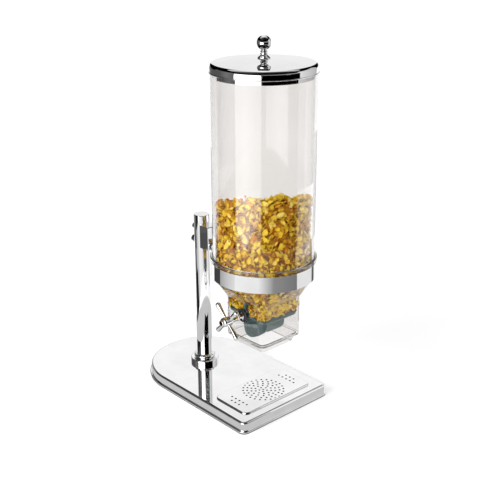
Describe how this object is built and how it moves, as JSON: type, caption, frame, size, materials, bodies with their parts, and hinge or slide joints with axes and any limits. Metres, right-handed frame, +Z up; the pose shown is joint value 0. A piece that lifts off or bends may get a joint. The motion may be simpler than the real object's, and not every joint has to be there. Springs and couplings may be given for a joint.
{
  "type": "gravity bulk food bin",
  "caption": "Counter-top cereal dispenser: clear cylindrical hopper with a domed lid and square funnel, a paddle rotor turned by a cross handle, on a column with a D-shaped base and drip tray.",
  "frame": {"origin": "on the flat face that the bin rests on, straight below the hopper's axis", "axes": "+X to the user's right (the turning handle is on the -X side), +Y to the back, where the column stands, +Z up"},
  "size_m": [0.218, 0.3751, 0.6782],
  "materials": {
    "mirror_steel": "mirror polished",
    "plain_steel": "plain rolled",
    "zinc_screws": "bright zinc plated",
    "clear_plastic": "clear gloss",
    "black_plastic": "moulded gloss",
    "black_rubber": "matte",
    "vane_rubber": "soft satin",
    "core_board": "sanded fibreboard",
    "cereal": "dry, matte"
  },
  "bodies": {
    "stand": {"base_pad": "black_rubber", "base_shell": "mirror_steel", "base_core": "core_board", "shell_bosses": "plain_steel", "core_screws": "zinc_screws", "column_tube": "mirror_steel", "column_cap": "mirror_steel", "column_foot": "mirror_steel", "column_collar": "mirror_steel", "column_plug": "plain_steel", "column_bolt": "zinc_screws", "column_washer": "plain_steel", "holder_ring": "mirror_steel", "bracket_arm": "mirror_steel", "saddle_block": "mirror_steel", "bracket_screws": "zinc_screws", "saddle_washers": "plain_steel", "funnel_body": "clear_plastic", "outlet_chute": "clear_plastic", "tube_seal": "black_rubber", "bush_left": "black_plastic", "bush_right": "black_plastic", "cereal_fill": "cereal"},
    "rotor": {"paddle_wheel": "vane_rubber", "rotor_shaft": "plain_steel", "shaft_end_cap": "black_plastic", "shaft_clip": "plain_steel", "stem_sleeve": "mirror_steel", "handle_hub": "mirror_steel", "handle_spokes": "mirror_steel", "hub_grub_screw": "zinc_screws", "hub_cap": "mirror_steel"},
    "hopper": {"hopper_tube": "clear_plastic"},
    "lid": {"lid_cap": "mirror_steel", "lid_plug": "mirror_steel", "lid_seal": "black_rubber", "lid_knob": "mirror_steel", "knob_washer": "plain_steel", "knob_screw": "zinc_screws"},
    "basin": {"drip_basin": "plain_steel"},
    "grille": {"drip_grille": "mirror_steel"}
  },
  "joints": [
    {"name": "handle_turn", "type": "hinge", "parent": "stand", "child": "rotor", "pos_m": [0, 0, 0.194], "axis": [1, 0, 0], "continuous": true},
    {"name": "hopper_lift", "type": "slide", "parent": "stand", "child": "hopper", "axis": [0, 0, 1], "range_m": [0, 0.04]},
    {"name": "lid_lift", "type": "slide", "parent": "hopper", "child": "lid", "axis": [0, 0, 1], "range_m": [0, 0.06]},
    {"name": "basin_lift", "type": "slide", "parent": "stand", "child": "basin", "axis": [0, 0, 1], "range_m": [0, 0.03]},
    {"name": "grille_lift", "type": "slide", "parent": "basin", "child": "grille", "axis": [0, 0, 1], "range_m": [0, 0.03]}
  ]
}
